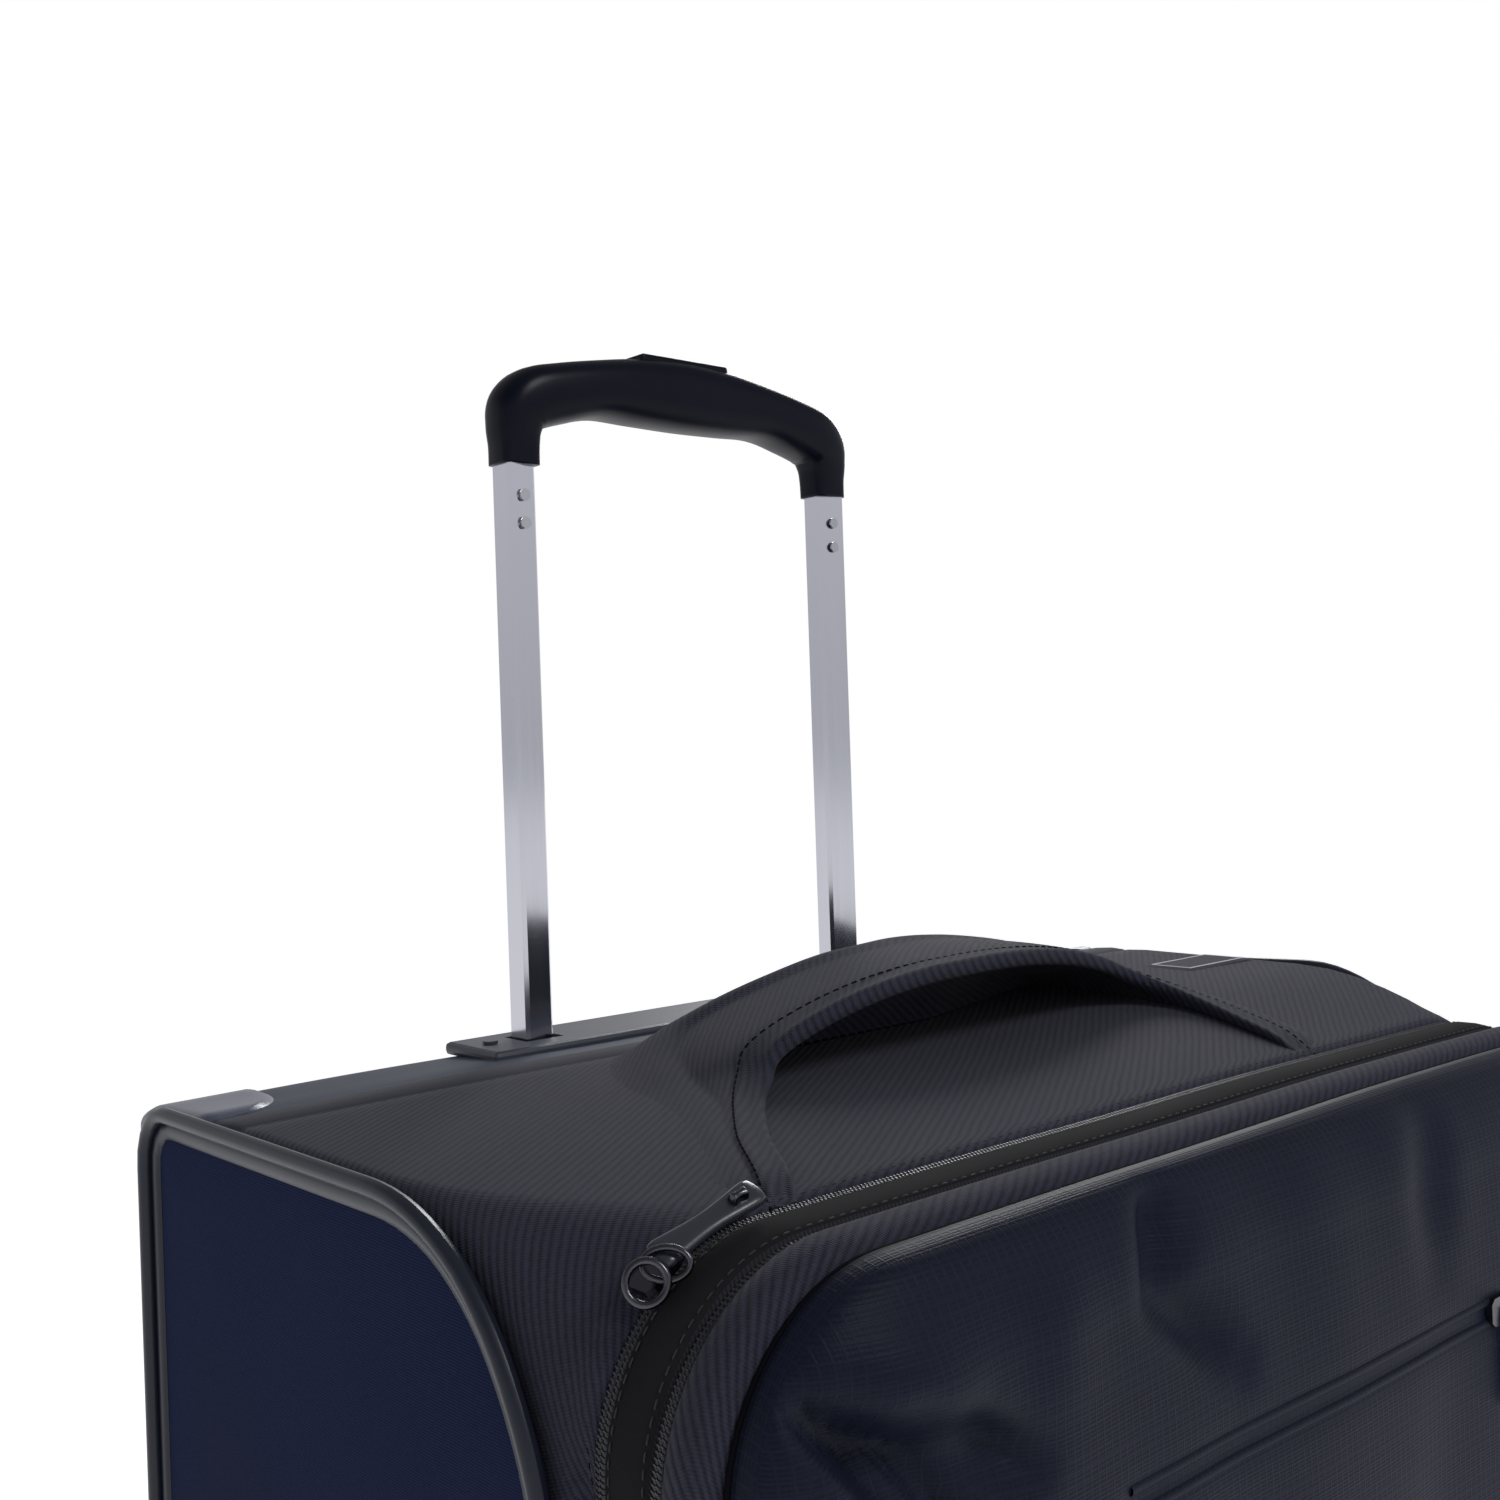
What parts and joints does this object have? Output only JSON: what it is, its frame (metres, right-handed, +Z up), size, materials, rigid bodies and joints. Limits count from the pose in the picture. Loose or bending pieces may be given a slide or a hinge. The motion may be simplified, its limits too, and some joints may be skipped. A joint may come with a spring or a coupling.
{
  "type": "softside upright suitcase",
  "caption": "Softside upright suitcase with an opening lid, a telescopic pull handle with a release button, carry handles, zippers and two rear wheels.",
  "frame": {"origin": "on the floor below the middle of the bounding box", "axes": "+Z up, -Y is the front with the lid and pocket, +Y is the back with the pull handle's tubes, +X is the hinge side of the lid"},
  "size_m": [0.5002, 0.3398, 1.028],
  "materials": {
    "twill": "ribbed woven polyester",
    "navy_panel": "matt woven",
    "lining": "thin woven",
    "piping": "satin coated cord",
    "black_plastic": "satin moulded",
    "grip_plastic": "satin soft-touch",
    "aluminium": "drawn and polished",
    "steel": "bright",
    "gunmetal": "dark plated",
    "board": "matt sheet",
    "rubber": "matt",
    "zip_coil": "woven coil",
    "label": "woven"
  },
  "bodies": {
    "case": {"axle_left": "steel", "axle_right": "steel", "back_board": "board", "bezel_screw_left": "steel", "bezel_screw_right": "steel", "bottom_guard": "black_plastic", "carry_handle_side": "twill", "carry_handle_top": "twill", "corner_guard_left": "black_plastic", "corner_guard_right": "black_plastic", "frame_rod_front": "steel", "frame_rod_rear": "steel", "front_foot_left": "black_plastic", "front_foot_right": "black_plastic", "handle_bezel": "black_plastic", "lining_panel": "lining", "main_shell": "twill", "main_zip_coil_shell": "zip_coil", "outer_tube_left": "aluminium", "outer_tube_right": "aluminium", "side_panel_left": "navy_panel", "side_panel_right": "navy_panel", "side_piping_left": "piping", "side_piping_right": "piping", "tube_foot_bracket": "black_plastic", "wheel_housing_left": "black_plastic", "wheel_housing_right": "black_plastic", "woven_label": "label", "zip_slider_corner": "gunmetal"},
    "handle": {"slide_tube_left": "aluminium", "slide_tube_right": "aluminium", "tube_plug_left": "black_plastic", "tube_plug_right": "black_plastic", "pull_grip": "grip_plastic", "grip_rivet_left_1": "steel", "grip_rivet_left_2": "steel", "grip_rivet_right_1": "steel", "grip_rivet_right_2": "steel"},
    "release": {"release_button": "black_plastic", "release_bar": "black_plastic", "release_rod_left": "steel", "release_rod_right": "steel"},
    "pin_left": {"lock_pin_left": "steel"},
    "pin_right": {"lock_pin_right": "steel"},
    "wheel_left": {"tyre_left": "rubber", "hub_left": "black_plastic"},
    "wheel_right": {"tyre_right": "rubber", "hub_right": "black_plastic"},
    "lid": {"lid_shell": "twill", "lid_board": "board", "front_pocket": "twill", "main_zip_coil_lid": "zip_coil", "expander_zip_coil": "zip_coil"},
    "side_slider": {"zip_slider_side": "gunmetal"},
    "side_pull": {"zip_pull_side": "gunmetal"},
    "corner_pull": {"zip_pull_corner": "gunmetal"},
    "pocket_slider": {"pocket_slider": "gunmetal"},
    "pocket_pull": {"pocket_pull": "gunmetal"}
  },
  "joints": [
    {"name": "handle_slide", "type": "slide", "parent": "case", "child": "handle", "axis": [0, 0, 1], "range_m": [-0.222, 0]},
    {"name": "button_press", "type": "slide", "parent": "handle", "child": "release", "axis": [0, 0, 1], "range_m": [-0.004, 0], "stiffness_N_per_m": 600, "springref_m": 0.004},
    {"name": "pin_left_slide", "type": "slide", "parent": "handle", "child": "pin_left", "axis": [1, 0, 0], "range_m": [0, 0.003]},
    {"name": "pin_right_slide", "type": "slide", "parent": "handle", "child": "pin_right", "axis": [-1, 0, 0], "range_m": [0, 0.003]},
    {"name": "wheel_left_spin", "type": "hinge", "parent": "case", "child": "wheel_left", "pos_m": [-0.1872, 0.1324, 0.034], "axis": [1, 0, 0], "continuous": true},
    {"name": "wheel_right_spin", "type": "hinge", "parent": "case", "child": "wheel_right", "pos_m": [0.2068, 0.1324, 0.034], "axis": [1, 0, 0], "continuous": true},
    {"name": "lid_hinge", "type": "hinge", "parent": "case", "child": "lid", "pos_m": [0.2464, -0.1056, 0.4], "axis": [0, 0, 1], "range_deg": [0, 110]},
    {"name": "side_slider_slide", "type": "slide", "parent": "case", "child": "side_slider", "axis": [0, 0, 1], "range_m": [-0.15, 0.3]},
    {"name": "side_pull_hinge", "type": "hinge", "parent": "side_slider", "child": "side_pull", "pos_m": [-0.2308, -0.1059, 0.296], "axis": [0, 1, 0], "range_deg": [0, 100]},
    {"name": "corner_pull_hinge", "type": "hinge", "parent": "case", "child": "corner_pull", "pos_m": [-0.20449, -0.1059, 0.74294], "axis": [0, -1, 0], "range_deg": [0, 100]},
    {"name": "pocket_slider_slide", "type": "slide", "parent": "lid", "child": "pocket_slider", "axis": [1, 0, 0], "range_m": [-0.18, 0.05]},
    {"name": "pocket_pull_hinge", "type": "hinge", "parent": "pocket_slider", "child": "pocket_pull", "pos_m": [0.1038, -0.1692, 0.667], "axis": [-1, 0, 0], "range_deg": [0, 100]}
  ],
  "couplings": [
    {"joint": "pin_left_slide", "follows": "button_press", "ratio": -0.75},
    {"joint": "pin_right_slide", "follows": "button_press", "ratio": -0.75}
  ]
}
